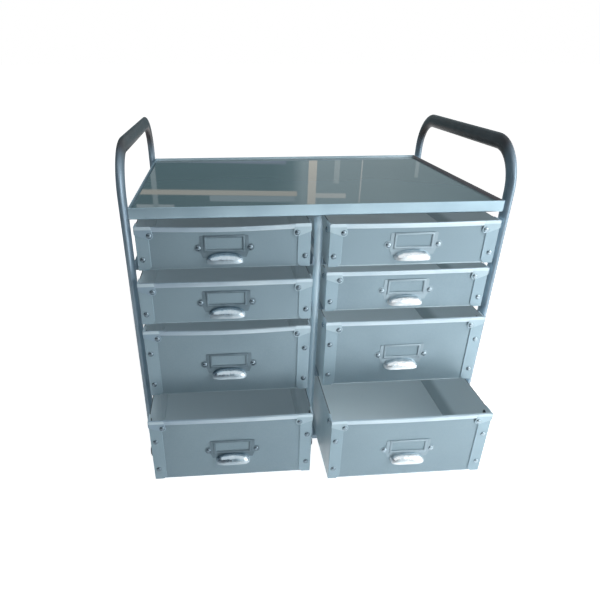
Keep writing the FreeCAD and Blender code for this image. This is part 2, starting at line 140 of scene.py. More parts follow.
def relief(tree, shader, value, height, strength):
    """Fine surface relief of the given height in metres."""
    bump = tree.nodes.new("ShaderNodeBump")
    bump.inputs["Strength"].default_value = strength
    bump.inputs["Distance"].default_value = height
    tree.links.new(value, bump.inputs["Height"])
    tree.links.new(bump.outputs["Normal"], shader.inputs["Normal"])


def metallic_paint(name, dark, light, metallic=0.6):
    """Silver-blue metallic paint with flakes and a little orange peel."""
    finish, tree, shader = new_finish(
        name, {"Metallic": metallic, "Coat Weight": 0.35, "Coat Roughness": 0.12})
    cloud = between(tree, grain(tree, 14, 3), dark, light)
    tree.links.new(cloud, shader.inputs["Base Color"])
    flakes = spread(tree, grain(tree, 2600, 1), 0.28, 0.44)
    tree.links.new(flakes, shader.inputs["Roughness"])
    relief(tree, shader, grain(tree, 420, 2), 0.00006, 0.5)
    return finish, tree, shader, cloud


def handled_paint():
    """The tube's paint, darkened where hands hold the bar."""
    finish, tree, shader, cloud = metallic_paint(
        "tube_paint", srgb(122, 143, 158), srgb(142, 163, 178))
    held = product(tree, spread(tree, along(tree, "Z"), 0, 1, *HELD_Z),
                   spread(tree, along(tree, "Y"), 0, 1, *HELD_Y))
    worn = product(tree, held, spread(tree, grain(tree, 30, 3), 0.93, 1))
    colour = mixed(tree, worn, cloud, srgb(58, 53, 54))
    tree.links.new(colour, shader.inputs["Base Color"])
    tree.links.new(spread(tree, worn, 0.6, 0.05, 0, 1), shader.inputs["Metallic"])
    tree.links.new(spread(tree, worn, 0.35, 0, 0, 1), shader.inputs["Coat Weight"])
    return finish


def make_piece(name, mesh, finish, body, nodes=(), crease=38):
    """Object from a finished bmesh, shaded smooth up to the crease angle."""
    bmesh.ops.recalc_face_normals(mesh, faces=mesh.faces)
    data = bpy.data.meshes.new(name)
    mesh.to_mesh(data)
    mesh.free()
    data.shade_smooth()
    data.set_sharp_from_angle(angle=math.radians(crease))
    data.materials.append(finish)
    piece = bpy.data.objects.new(name, data)
    bpy.context.scene.collection.objects.link(piece)
    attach(piece, body)
    if nodes:
        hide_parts(*nodes)
    return piece


def skin_rings(mesh, rings, closed=False):
    """Join rings of points one after the other, with a lid on both ends."""
    loops = [[mesh.verts.new(point) for point in ring] for ring in rings]
    for near, far in zip(loops, loops[1:] + loops[:1] if closed else loops[1:]):
        for i, vertex in enumerate(near):
            j = (i + 1) % len(near)
            mesh.faces.new((vertex, near[j], far[j], far[i]))
    if not closed:
        mesh.faces.new(loops[0])
        mesh.faces.new(loops[-1][::-1])


def bent_tube(name, node, bend, finish):
    """Front leg, bend, bar, bend and back leg of one tube, in the node's place."""
    low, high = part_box(node)
    x = (low.x + high.x) / 2
    half_thin = (high.x - low.x) / 2
    half_wide = SIDE_HALF_WIDE if "side" in node else half_thin
    near, far, crown = low.y + half_wide, high.y - half_wide, high.z - half_wide
    path = [(near, low.z, 0)]
    for step in range(BEND_STEPS + 1):
        tilt = math.pi / 2 * step / BEND_STEPS
        path.append((near + bend * (1 - math.cos(tilt)), crown - bend * (1 - math.sin(tilt)), tilt))
    for step in range(BEND_STEPS + 1):
        tilt = math.pi / 2 * step / BEND_STEPS
        path.append((far - bend * (1 - math.sin(tilt)), crown - bend * (1 - math.cos(tilt)),
                     math.pi / 2 + tilt))
    path.append((far, low.z, math.pi))
    rings = []
    for y, z, tilt in path:
        ring = []
        for side in range(TUBE_SIDES):
            turn = 2 * math.pi * side / TUBE_SIDES
            out = half_wide * math.cos(turn)
            ring.append((x + half_thin * math.sin(turn), y + out * math.cos(tilt),
                         z - out * math.sin(tilt)))
        rings.append(ring)
    mesh = bmesh.new()
    skin_rings(mesh, rings)
    return make_piece(name, mesh, finish, "frame", [node])


tube_paint = handled_paint()
for side in ("left", "right"):
    loop = bent_tube(f"{side}_side_loop", f"side_loop_{side}", SIDE_BEND, tube_paint)
    loop.visible_glossy = False

# Centre loop: a hoop of 12 mm round steel tube that parts the two columns of
# drawers and carries their inner runners. It is bent tighter than the sides
# and its bar is welded up against the flanges of the top tray.
CENTRE_BEND = 24 * mm
LIT_FRONT_Y = (-0.1, 0.02)  # painted light is full in front of the first, and gone behind the second
# Painted light: the centre tube's paint is a paler, less metallic copy of the frame's, palest at
# its front, where the tube stands in shade between the columns.
centre_paint, centre_tree, centre_shader, centre_cloud = metallic_paint(
    "centre_paint", srgb(132, 154, 168), srgb(150, 172, 185), 0.25)
painted_lit_front = spread(centre_tree, along(centre_tree, "Y"), 1, 0, *LIT_FRONT_Y)
centre_tree.links.new(mixed(centre_tree, painted_lit_front, centre_cloud, srgb(182, 204, 216)),
                      centre_shader.inputs["Base Color"])
bent_tube("centre_loop_tube", "centre_loop", CENTRE_BEND, centre_paint)

# Feet: ribbed grey rubber ferrules pushed on the six tube ends. Each has a
# broad sole, three ribs round it and a thin lip against the tube.
FERRULE_PROFILE = [  # share of the lip that stands out, share of the height
    (0.45, 0), (0.85, 0.03), (1, 0.1), (1, 0.28), (0.62, 0.32), (0.62, 0.37), (0.95, 0.41),
    (0.95, 0.5), (0.6, 0.54), (0.6, 0.59), (0.9, 0.63), (0.9, 0.72), (0.55, 0.76),
    (0.55, 0.9), (0.35, 0.98), (0.1, 1)]
FERRULE_LIP = 2 * mm
FERRULE_SIDES = 40


def ribbed_rubber():
    """Grey rubber with a faint bloom and moulding grain."""
    finish, tree, shader = new_finish("foot_rubber", {"Specular IOR Level": 0.35})
    colour = between(tree, grain(tree, 90, 4), srgb(84, 92, 98), srgb(108, 118, 124))
    tree.links.new(colour, shader.inputs["Base Color"])
    tree.links.new(spread(tree, grain(tree, 300, 3), 0.55, 0.8), shader.inputs["Roughness"])
    relief(tree, shader, grain(tree, 1500, 2), 0.00008, 0.6)
    return finish


rubber = ribbed_rubber()
for end in ("front", "back"):
    for place in ("left", "centre", "right"):
        node = f"{end}_{place}_foot"
        low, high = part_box(node)
        middle = (low + high) / 2
        rings = []
        for lip_share, height_share in FERRULE_PROFILE:
            inset = FERRULE_LIP * (1 - lip_share)
            wide, thin = (high.y - low.y) / 2 - inset, (high.x - low.x) / 2 - inset
            level = low.z + (high.z - low.z) * height_share
            turns = [2 * math.pi * side / FERRULE_SIDES for side in range(FERRULE_SIDES)]
            rings.append([(middle.x + thin * math.sin(turn), middle.y + wide * math.cos(turn),
                           level) for turn in turns])
        mesh = bmesh.new()
        skin_rings(mesh, rings)
        make_piece(f"{end}_{place}_ferrule", mesh, rubber, "frame", [node], 50)

# Top tray: four lengths of 16 mm steel angle with mitred ends, welded into a
# frame whose flanges turn in under the glass. The bend is rounded and the free
# edge eased. Front, back and sides are lighter and darker copies of one paint,
# a painted light and shade. The inner face of the right one is darker, warmer
# and less metallic.
RAIL_SHEET = 1.5 * mm
RAIL_BEND = 2.2 * mm
RAIL_BEND_STEPS = 6
EDGE_EASE = 0.4 * mm
OUTER_SKIN = 0.5 * mm


def lies_between(tree, axis, low, high):
    """One where a value or the place along an axis is between two limits, else nothing."""
    place = along(tree, axis) if isinstance(axis, str) else axis
    above = tree.nodes.new("ShaderNodeMath")
    above.operation = "GREATER_THAN"
    below = tree.nodes.new("ShaderNodeMath")
    below.operation = "LESS_THAN"
    for test, limit in ((above, low), (below, high)):
        tree.links.new(place, test.inputs[0])
        test.inputs[1].default_value = limit
    return product(tree, above.outputs["Value"], below.outputs["Value"])


def rail_profile(leg):
    """Angle in section: how far in from the outer face, how far up."""
    arc = [math.pi / 2 * step / RAIL_BEND_STEPS for step in range(RAIL_BEND_STEPS + 1)]
    outside = [(RAIL_BEND * (1 - math.cos(t)), RAIL_BEND * (1 - math.sin(t))) for t in arc]
    inner = RAIL_BEND - RAIL_SHEET
    inside = [(RAIL_BEND - inner * math.cos(t), RAIL_BEND - inner * math.sin(t)) for t in arc]
    top = [(RAIL_SHEET, leg - EDGE_EASE), (RAIL_SHEET - EDGE_EASE, leg),
           (EDGE_EASE, leg), (0, leg - EDGE_EASE)]
    flange = [(leg - EDGE_EASE, 0), (leg, EDGE_EASE), (leg, RAIL_SHEET - EDGE_EASE),
              (leg - EDGE_EASE, RAIL_SHEET)]
    return outside + flange + inside[::-1] + top


# Painted light and shade: front, back and sides get lighter and darker copies of one paint.
rail_paint = metallic_paint("rail_paint", srgb(155, 181, 195), srgb(173, 199, 211), 0.8)[0]
back_paint = metallic_paint("back_rail_paint", srgb(178, 202, 213), srgb(192, 214, 224), 0.3)[0]
side_paint, side_tree, side_shader, side_cloud = metallic_paint(
    "side_rail_paint", srgb(150, 174, 190), srgb(168, 192, 206))
for side, outward in (("front", (0, -1)), ("back", (0, 1)), ("left", (-1, 0)), ("right", (1, 0))):
    node = f"top_{side}_rail"
    low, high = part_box(node)
    leg = high.z - low.z
    runs_across = outward[0] == 0
    half_run = (high.x - low.x if runs_across else high.y - low.y) / 2
    middle = 0 if runs_across else (low.y + high.y) / 2
    face = {"front": low.y, "back": high.y, "left": low.x, "right": high.x}[side]
    rings = []
    for end in (-1, 1):
        ring = []
        for inward, up in rail_profile(leg):
            reach = end * (half_run - inward)
            if runs_across:
                ring.append((reach, face - outward[1] * inward, low.z + up))
            else:
                ring.append((face - outward[0] * inward, middle + reach, low.z + up))
        rings.append(ring)
    mesh = bmesh.new()
    skin_rings(mesh, rings)
    paint = {"front": rail_paint, "back": back_paint}.get(side, side_paint)
    make_piece(f"{side}_top_angle", mesh, paint, "frame", [node])
    # The inner face of the right angle is darker, warmer and less metallic.
    if side == "right":
        inside_face = lies_between(side_tree, "X", 0, high.x - OUTER_SKIN)
        side_tree.links.new(mixed(side_tree, inside_face, side_cloud, srgb(138, 129, 134)),
                            side_shader.inputs["Base Color"])
        side_tree.links.new(spread(side_tree, inside_face, 0.7, 0.05, 0, 1),
                            side_shader.inputs["Metallic"])

# Weld beads: short runs of weld where a rail or a runner meets a tube, ground
# a little and painted over with the rest of the frame.
BEAD_RADIUS = 1.3 * mm
BEAD_STEPS, BEAD_SIDES = 14, 10
BEAD_ENDS = 1 * mm
BEAD_BLUNT = 6  # how square the ends of a bead are
BEAD_RIPPLE, RIPPLE_TURN = 0.12, 44  # share of the radius, and radians over the length
RUNNER_BEAD, SLIM_BEAD = 0.9, 0.8  # shares of the full radius
CENTRE_SINK = 0.97  # share of the centre tube's half width at which its beads lie
INNER_WELD = 5.2 * mm
OUTER_WELD = 4 * mm
CENTRE_WELD = 3.2 * mm
LEG_SETBACK = 6 * mm
CENTRE_SETBACK = 7 * mm
RUNNER_RISE = 14 * mm


def add_bead(mesh, x, y, low, high, radius):
    """Upright bead with a rippled surface and round ends, a little short of both limits."""
    low, high = low + BEAD_ENDS, high - BEAD_ENDS
    turns = [2 * math.pi * side / BEAD_SIDES for side in range(BEAD_SIDES)]
    rings = []
    for step in range(BEAD_STEPS + 1):
        share = step / BEAD_STEPS
        swell = radius * math.sqrt(max(0.02, 1 - abs(2 * share - 1) ** BEAD_BLUNT))
        swell *= 1 + BEAD_RIPPLE * math.sin(share * RIPPLE_TURN)
        rings.append([(x + swell * math.cos(turn), y + swell * math.sin(turn),
                       low + (high - low) * share) for turn in turns])
    skin_rings(mesh, rings)


rail_low, rail_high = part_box("top_front_rail")
tray_front, tray_back = rail_low.y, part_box("top_back_rail")[1].y
bead_paint = metallic_paint("bead_paint", srgb(118, 138, 152), srgb(146, 166, 180))[0]
runner_edges = sorted({round(v.co.z, 4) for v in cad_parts["left_runners"].data.vertices})
runner_spans = [(z, z + RUNNER_RISE) for z in runner_edges
                if round(z + RUNNER_RISE, 4) in runner_edges]
for side, seam in (("left", -rail_high.x), ("right", rail_high.x)):
    mesh = bmesh.new()
    for leg_y in (tray_front + LEG_SETBACK, tray_back - LEG_SETBACK):
        inner = leg_y - math.copysign(INNER_WELD, leg_y)
        outer = leg_y + math.copysign(OUTER_WELD, leg_y)
        add_bead(mesh, seam, inner, rail_low.z, rail_high.z, BEAD_RADIUS)
        add_bead(mesh, seam, outer, rail_low.z, rail_high.z, BEAD_RADIUS * SLIM_BEAD)
        for low, high in runner_spans:
            add_bead(mesh, seam, inner, low, high, BEAD_RADIUS * RUNNER_BEAD)
    make_piece(f"{side}_weld_beads", mesh, bead_paint, "frame", (), 60)
mesh = bmesh.new()
for side in (-CENTRE_SINK, CENTRE_SINK):
    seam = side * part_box("centre_loop")[1].x
    for leg_y in (tray_front + CENTRE_SETBACK, tray_back - CENTRE_SETBACK):
        inner = leg_y - math.copysign(CENTRE_WELD, leg_y)
        for low, high in runner_spans:
            add_bead(mesh, seam, inner, low, high, BEAD_RADIUS * SLIM_BEAD)
make_piece("centre_weld_beads", mesh, bead_paint, "frame", (), 60)

# Glass plate: 5 mm float glass with ground edges, lying loose in the tray on
# a dark lacquered board that rests on the flanges of the angle.


def backed_glass():
    """Grey-green glass over the dark board, polished, with faint wipe marks."""
    finish, tree, shader = new_finish("backed_glass", {"IOR": 1.38})
    colour = between(tree, grain(tree, 5, 2), srgb(92, 110, 115), srgb(101, 119, 124))
    tree.links.new(colour, shader.inputs["Base Color"])
    wiped = grain(tree, 7, 5, (1, 3.5, 1))
    tree.links.new(spread(tree, wiped, 0.008, 0.03), shader.inputs["Roughness"])
    return finish


def soften_edges(node, finish, width, steps=2):
    """Give a node its finish, clear the seams in its flat faces and ease its sharp edges."""
    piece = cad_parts[node]
    weld = piece.modifiers.new("joined_corners", "WELD")
    weld.merge_threshold = 0.01 * mm
    flat = piece.modifiers.new("flat_faces", "DECIMATE")
    flat.decimate_type = "DISSOLVE"
    flat.angle_limit = math.radians(0.5)
    eased = piece.modifiers.new("eased_edges", "BEVEL")
    eased.width = width
    eased.segments = steps
    eased.limit_method = "ANGLE"
    eased.angle_limit = math.radians(35)
    piece.data.materials.clear()
    piece.data.materials.append(finish)


soften_edges("glass_top", backed_glass(), 0.15 * mm, 1)


def lacquered_board():
    """Hard board with a dark grey-green lacquer and a faint fibre."""
    finish, tree, shader = new_finish("backing_board", {"Specular IOR Level": 0.35})
    colour = between(tree, grain(tree, 60, 4, (1, 6, 1)), srgb(40, 48, 50), srgb(56, 64, 65))
    tree.links.new(colour, shader.inputs["Base Color"])
    tree.links.new(spread(tree, grain(tree, 240, 3), 0.45, 0.65), shader.inputs["Roughness"])
    relief(tree, shader, grain(tree, 400, 3, (1, 5, 1)), 0.00008, 0.5)
    return finish


soften_edges("glass_backing", lacquered_board(), 0.5 * mm)

# Cross bars and runners: 8 mm square bar low between the legs, and folded
# steel angles that the drawers slide on. The drawers have rubbed the runners
# to bright streaks along their length.


def rubbed_paint():
    """The frame's paint with bright lengthwise rub marks."""
    finish, tree, shader, cloud = metallic_paint(
        "runner_paint", srgb(118, 139, 153), srgb(138, 158, 172))
    rubs = spread(tree, grain(tree, 60, 3, (6, 0.15, 6)), 0, 0.6, 0.52, 0.7)
    colour = mixed(tree, rubs, cloud, srgb(176, 188, 196))
    tree.links.new(colour, shader.inputs["Base Color"])
    return finish


runner_paint = rubbed_paint()
for node in ("left_runners", "centre_runners", "right_runners"):
    soften_edges(node, runner_paint, 0.3 * mm)
for node in ("bottom_front_bars", "bottom_back_bars"):
    soften_edges(node, runner_paint, 0.9 * mm, 3)

# Drawer trays: bottom, sides and back of one folded 1.6 mm board with a
# satin silver film on both faces. The sides lap round over the front board,
# and the cut top edges show the dark core. On the laps the film is paler than
# on the fronts. Behind the laps it is painted lighter and duller, and inside
# lighter still, most in the right column, with a painted dark reflection low
# on each right wall: painted light and shade.
DRAWERS = [f"{column}_{row}" for column in ("left", "right")
           for row in ("top", "second", "third", "bottom")]
BOARD = 1.6 * mm
FOOT_WIDE = 2.3 * mm
FOOT_HIGH = (0.2, 0.38)  # shares of the height where the painted reflection on the right wall is full, and gone
CORE_DEEP = 1.2 * mm
CORE_FADE = 0.5 * mm


def film_board(name, dark, light, tray_box=None, inside=None):
    """Satin silver film, faint grain; on a tray, painted light and shade and a dark cut edge."""
    finish, tree, shader = new_finish(
        name, {"Metallic": 0.4, "Coat Weight": 0.25, "Coat Roughness": 0.3})
    cloud = between(tree, grain(tree, 4, 3), dark, light)
    fine = spread(tree, grain(tree, 900, 2, (1, 0.12, 1)), 0, 0.06)
    colour = mixed(tree, fine, cloud, srgb(196, 206, 212))
    if tray_box:
        low, high = tray_box
        # Painted light: the walls behind the front lap are lighter and less metallic.
        painted_light_wall = lies_between(tree, "Y", low.y + BOARD + 0.1 * mm, high.y + mm)
        colour = mixed(tree, painted_light_wall, colour, srgb(160, 180, 188))
        tree.links.new(spread(tree, painted_light_wall, 0.4, 0.05, 0, 1), shader.inputs["Metallic"])
        # Painted light: the inside of a tray is lighter than its outside.
        painted_light_inside = product(tree, lies_between(tree, "X", low.x + mm, high.x - mm),
                         product(tree, lies_between(tree, "Y", low.y + mm, high.y - mm),
                                 lies_between(tree, "Z", low.z + mm, high.z + mm)))
        colour = mixed(tree, painted_light_inside, colour, inside)
        # Painted reflection: a darker band low on the inside of the right wall.
        foot_z = [low.z + share * (high.z - low.z) for share in FOOT_HIGH]
        painted_reflection_foot = product(tree, lies_between(tree, "X", high.x - FOOT_WIDE, high.x - mm),
                             spread(tree, along(tree, "Z"), 1, 0, *foot_z))
        colour = mixed(tree, product(tree, painted_light_inside, painted_reflection_foot), colour, srgb(146, 163, 170))
        normal = tree.nodes.new("ShaderNodeNewGeometry")
        parts = tree.nodes.new("ShaderNodeSeparateXYZ")
        tree.links.new(normal.outputs["Normal"], parts.inputs["Vector"])
        facing_up = spread(tree, parts.outputs["Z"], 0, 1, 0.6, 0.9)
        core_from = high.z - CORE_DEEP
        high_up = spread(tree, along(tree, "Z"), 0, 1, core_from - CORE_FADE, core_from)
        colour = mixed(tree, product(tree, facing_up, high_up), colour, srgb(52, 58, 64))
    tree.links.new(colour, shader.inputs["Base Color"])
    tree.links.new(spread(tree, grain(tree, 30, 4), 0.3, 0.42), shader.inputs["Roughness"])
    relief(tree, shader, grain(tree, 500, 2), 0.00003, 0.35)
    return finish


for drawer in DRAWERS:
    node = f"{drawer}_drawer_tray"
    # Painted light: the insides are lighter in the right column than in the left.
    painted_light_inside = srgb(160, 177, 185) if "left" in drawer else srgb(196, 211, 217)
    board = film_board(f"{drawer}_tray_film", srgb(138, 163, 176), srgb(148, 173, 185),
                       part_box(node), painted_light_inside)
    soften_edges(node, board, 0.5 * mm, 3)

# Drawer fronts: separate boards of the same sheet, held behind the laps by
# the rivets. Each has sagged a little along its top edge between the corners,
# most of all on the left.
FRONT_COLUMNS = 28
FRONT_LEVELS = (0, 0.4, 0.75, 1)
RIM_SAG = {"left_top": 3.0 * mm, "left_second": 0.6 * mm, "left_third": 3.2 * mm,
           "left_bottom": 1.2 * mm, "right_top": 1.0 * mm, "right_second": 0.6 * mm,
           "right_third": 0.8 * mm, "right_bottom": 1.6 * mm}
SAG_TO_CORNERS, SAG_TO_FOOT = 1.3, 2  # how fast the sag fades that way


def sagged(drawer, x, z, low, high):
    """Height of a point of the front once its top edge has sunk."""
    across = 2 * (x - low.x) / (high.x - low.x) - 1
    up = max(0.0, (z - low.z) / (high.z - low.z))
    return z - RIM_SAG[drawer] * max(0.0, 1 - across * across) ** SAG_TO_CORNERS * up ** SAG_TO_FOOT


front_film = film_board("front_film", srgb(121, 144, 156), srgb(132, 155, 166))
for drawer in DRAWERS:
    node = f"{drawer}_drawer_front"
    low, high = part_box(node)
    mesh = bmesh.new()
    rings = []
    for step in range(FRONT_COLUMNS + 1):
        x = low.x + (high.x - low.x) * step / FRONT_COLUMNS
        heights = [sagged(drawer, x, low.z + (high.z - low.z) * share, low, high)
                   for share in FRONT_LEVELS]
        rings.append([(x, low.y, z) for z in heights] + [(x, high.y, z) for z in heights[::-1]])
    skin_rings(mesh, rings)
    make_piece(f"{drawer}_front_board", mesh, front_film, f"{drawer}_drawer",
               [node])

# Edge trims: a strip of thin aluminium folded over the top of each front,
# its ends spread into caps that wrap round the corners, each held by a rivet
# in front and one at the side. The strip is painted lighter than its caps and
# the caps lighter along their top, as painted light, and all darker towards
# the left, as painted shade.
TRIM_SHEET = 0.8 * mm
TRIM_DROP = 6.4 * mm
CAP_CORNER = 11 * mm
CAP_STUD_IN = 19.6 * mm
CAP_STUD_DROP = 12.6 * mm
CAP_LOBE = 5.6 * mm
CAP_STEP = 0.2 * mm
CAP_PAST_STUD = 2.4 * mm
STRIP_FOLD = 0.7 * mm
SHADED_LEFT_X = (-0.26, -0.06)  # painted shade is full left of the first, and gone from the second on
LIT_RIM_BAND = (0.72, 0.78)  # shares of a cap's height where painted light along its top begins, and is full


def satin_strip(name, dark, light, metal, rim=None):
    """Satin aluminium with a lengthwise rolled grain and faint dents."""
    finish, tree, shader = new_finish(name, {"Metallic": metal})
    colour = between(tree, grain(tree, 22, 3), dark, light)
    # Painted shade: the metal is darker towards the left.
    colour = mixed(tree, spread(tree, along(tree, "X"), 0.45, 0, *SHADED_LEFT_X), colour,
                   srgb(126, 152, 176))
    # Painted light along the top of a cap.
    if rim:
        colour = mixed(tree, spread(tree, along(tree, "Z", "Generated"), 0, 1, *LIT_RIM_BAND),
                       colour, rim)
    tree.links.new(colour, shader.inputs["Base Color"])
    rolled = grain(tree, 500, 2, (0.08, 1, 1))
    tree.links.new(spread(tree, rolled, 0.3, 0.4), shader.inputs["Roughness"])
    relief(tree, shader, grain(tree, 30, 1, (1, 0.5, 0.5)), 0.00005, 0.4)
    return finish


def cap_outline():
    """Cap seen flat: how far in from the corner, how far down from the top."""
    arc = [math.radians(angle) for angle in range(105, -31, -15)]
    lobe = [(CAP_STUD_IN + CAP_LOBE * math.cos(t), CAP_STUD_DROP + CAP_LOBE * math.sin(t))
            for t in arc]
    return ([(-TRIM_SHEET, 0), (-TRIM_SHEET, CAP_CORNER)] + lobe
            + [(CAP_STUD_IN + CAP_PAST_STUD, 0)])


def add_plate(mesh, outline, thickness):
    """Flat plate from its outline on the near face and a step to the far face."""
    near = [mesh.verts.new(point) for point in outline]
    far = [mesh.verts.new(Vector(point) + thickness) for point in outline]
    mesh.faces.new(near)
    mesh.faces.new(far[::-1])
    for i, vertex in enumerate(near):
        j = (i + 1) % len(near)
        mesh.faces.new((vertex, near[j], far[j], far[i]))


# Painted light: the strip is a lighter copy of the caps' aluminium.
strip_metal = satin_strip("satin_strip", srgb(184, 204, 216), srgb(200, 217, 226), 0.45)
cap_metal = satin_strip("satin_cap", srgb(158, 181, 192), srgb(172, 194, 204), 0.45,
                        srgb(192, 211, 221))
for drawer in DRAWERS:
    node = f"{drawer}_edge_trim"
    low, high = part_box(node)
    front_low, front_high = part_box(f"{drawer}_drawer_front")
    lap_face = front_low.y - BOARD
    left, right = low.x + TRIM_SHEET, high.x - TRIM_SHEET
    inside = front_high.y
    mesh = bmesh.new()
    outer, inner = lap_face - TRIM_SHEET + CAP_STEP, inside + TRIM_SHEET
    turn_y, turn_z = STRIP_FOLD * 0.3, STRIP_FOLD * 0.25
    section = [(outer, -TRIM_DROP), (outer, -STRIP_FOLD), (outer + turn_y, -turn_z),
               (lap_face, 0), (inside, 0), (inner - turn_y, -turn_z), (inner, -STRIP_FOLD),
               (inner, -TRIM_DROP), (inside, -TRIM_DROP), (inside, -TRIM_SHEET),
               (lap_face, -TRIM_SHEET), (lap_face, -TRIM_DROP)]
    rings = []
    for step in range(FRONT_COLUMNS + 1):
        x = left + (right - left) * step / FRONT_COLUMNS
        sunk = front_high.z - sagged(drawer, x, front_high.z, front_low, front_high)
        rings.append([(x, y, high.z - CAP_STEP - sunk + drop) for y, drop in section])
    skin_rings(mesh, rings)
    strip_faces = len(mesh.faces)
    for corner, inward in ((left, 1), (right, -1)):
        add_plate(mesh, [(corner + inward * across, lap_face, high.z - down)
                         for across, down in cap_outline()], Vector((0, -TRIM_SHEET, 0)))
        add_plate(mesh, [(corner, lap_face + across, high.z - down)
                         for across, down in cap_outline()], Vector((-inward * TRIM_SHEET, 0, 0)))
        near, far = corner - inward * TRIM_SHEET, corner + inward * BOARD
        front_edge, back_edge = lap_face - TRIM_SHEET, lap_face + CAP_STUD_IN
        add_plate(mesh, [(near, front_edge, high.z), (far, front_edge, high.z),
                         (far, back_edge, high.z), (near, back_edge, high.z)],
                  Vector((0, 0, -TRIM_SHEET)))
    for cap_face in list(mesh.faces)[strip_faces:]:
        cap_face.material_index = 1
    trim = make_piece(f"{drawer}_rim_strip", mesh, strip_metal, f"{drawer}_drawer",
                      [node])
    trim.data.materials.append(cap_metal)
    eased = trim.modifiers.new("eased_edges", "BEVEL")
    eased.width = 0.25 * mm
    eased.segments = 2
    eased.limit_method = "ANGLE"
    eased.angle_limit = math.radians(50)

# Label holders: pressed from thin steel, with a card window in a raised
# channel, two riveted ears and a finger cup below that is hollow and open
# underneath. The plate is plated dull and the cup bright.
WINDOW_WIDE = 51 * mm
WINDOW_HIGH = 17 * mm
WINDOW_DROP = 3.2 * mm
EAR_SPREAD = 73.6 * mm
EAR_DROP = 17.4 * mm
EAR_RADIUS = 5.6 * mm
PLATE_WIDE = 69 * mm
PLATE_FOOT = 62 * mm
PLATE_HIGH = 32 * mm
PLATE_SHEET = 0.8 * mm
PLATE_CORNER = 1 * mm
PLATE_BACK = 0.98  # share of the sheet, so that its back stays clear of the board
CHANNEL_HALF = 1.9 * mm
CHANNEL_RISE = 1.3 * mm
CHANNEL_SUNK = 0.2 * mm
CHANNEL_STEPS = 6
CHANNEL_MITRE = 0.5  # least cosine at a corner, so that its mitre stays short
CHANNEL_DROPS = (WINDOW_DROP - 1.7 * mm, WINDOW_DROP + WINDOW_HIGH + 1.5 * mm)
CUP_WIDE = 53 * mm
CUP_RISE = 13.5 * mm
CUP_ARCH = 2.6  # how square the cup is seen from the front
CUP_BLUNT = 4  # how square it is seen from above
CUP_COLUMNS, CUP_TURNS = 28, 10
CUP_MERGE = 0.02 * mm  # points of its mesh nearer than this become one
LIT_RIGHT_X = (-0.02, 0.12)  # where painted light towards the right begins, and is full
CUP_DARK_REFLECTION_X = (-0.3, 0.1)  # where the painted dark reflection on the cups is full, and where it is gone
CUP_LIP = (0.1, 0.65)  # shares of the cup's height where its haze is full, and gone


def dull_plating():
    """Dull grey plating with fine drawn marks."""
    finish, tree, shader = new_finish("dull_plating", {"Metallic": 0.65})
    colour = between(tree, grain(tree, 60, 3), srgb(98, 117, 127), srgb(118, 136, 146))
    # Painted light: the holders are paler towards the right.
    colour = mixed(tree, spread(tree, along(tree, "X"), 0, 0.85, *LIT_RIGHT_X), colour,
                   srgb(152, 170, 180))
    tree.links.new(colour, shader.inputs["Base Color"])
    tree.links.new(spread(tree, grain(tree, 240, 3, (1, 1, 0.2)), 0.28, 0.45),
                   shader.inputs["Roughness"])
    relief(tree, shader, grain(tree, 300, 2), 0.00006, 0.5)
    return finish


def bright_plating():
    """Polished plating over pressed steel, rippled, hazed towards its lower lip."""
    finish, tree, shader = new_finish("bright_plating", {})
    colour = between(tree, grain(tree, 120, 4), srgb(214, 226, 233), srgb(242, 247, 250))
    # Painted reflection: the cups are darker towards the left.
    colour = mixed(tree, spread(tree, along(tree, "X"), 0.95, 0, *CUP_DARK_REFLECTION_X), colour,
                   srgb(146, 172, 188))
    tree.links.new(colour, shader.inputs["Base Color"])
    tree.links.new(spread(tree, along(tree, "Z", "Generated"), 0.35, 1, *CUP_LIP),
                   shader.inputs["Metallic"])
    tree.links.new(spread(tree, grain(tree, 260, 3), 0.14, 0.24), shader.inputs["Roughness"])
    relief(tree, shader, grain(tree, 130, 3), 0.0008, 0.7)
    return finish


def plate_outline():
    """Half outline of the holder, across and down from the middle of its top."""
    arc = [math.radians(angle) for angle in range(-75, 76, 15)]
    ear = [(EAR_SPREAD / 2 + EAR_RADIUS * math.cos(t), EAR_DROP + EAR_RADIUS * math.sin(t))
           for t in arc]
    return ([(PLATE_WIDE / 2 - PLATE_CORNER, 0), (PLATE_WIDE / 2, PLATE_CORNER),
             (PLATE_WIDE / 2, EAR_DROP - EAR_RADIUS)] + ear
            + [(PLATE_WIDE / 2, EAR_DROP + EAR_RADIUS), (PLATE_FOOT / 2, PLATE_HIGH)])


def add_channel(mesh, corners, y):
    """Rounded ridge round a closed path of corners in one upright plane."""
    rings = []
    count = len(corners)
    for i, (x, z) in enumerate(corners):
        before = Vector(corners[i - 1])
        after = Vector(corners[(i + 1) % count])
        here = Vector((x, z))
        run_in, run_out = (here - before).normalized(), (after - here).normalized()
        side = Vector((-run_in.y - run_out.y, run_in.x + run_out.x))
        side = side.normalized() / max(CHANNEL_MITRE, math.cos(run_in.angle(run_out) / 2))
        ring = []
        for step in range(CHANNEL_STEPS + 1):
            turn = math.pi * step / CHANNEL_STEPS
            point = here + side * CHANNEL_HALF * math.cos(turn)
            ring.append((point.x, y - CHANNEL_RISE * math.sin(turn), point.y))
        ring.append((here.x, y + CHANNEL_SUNK, here.y))
        rings.append(ring)
    skin_rings(mesh, rings, closed=True)


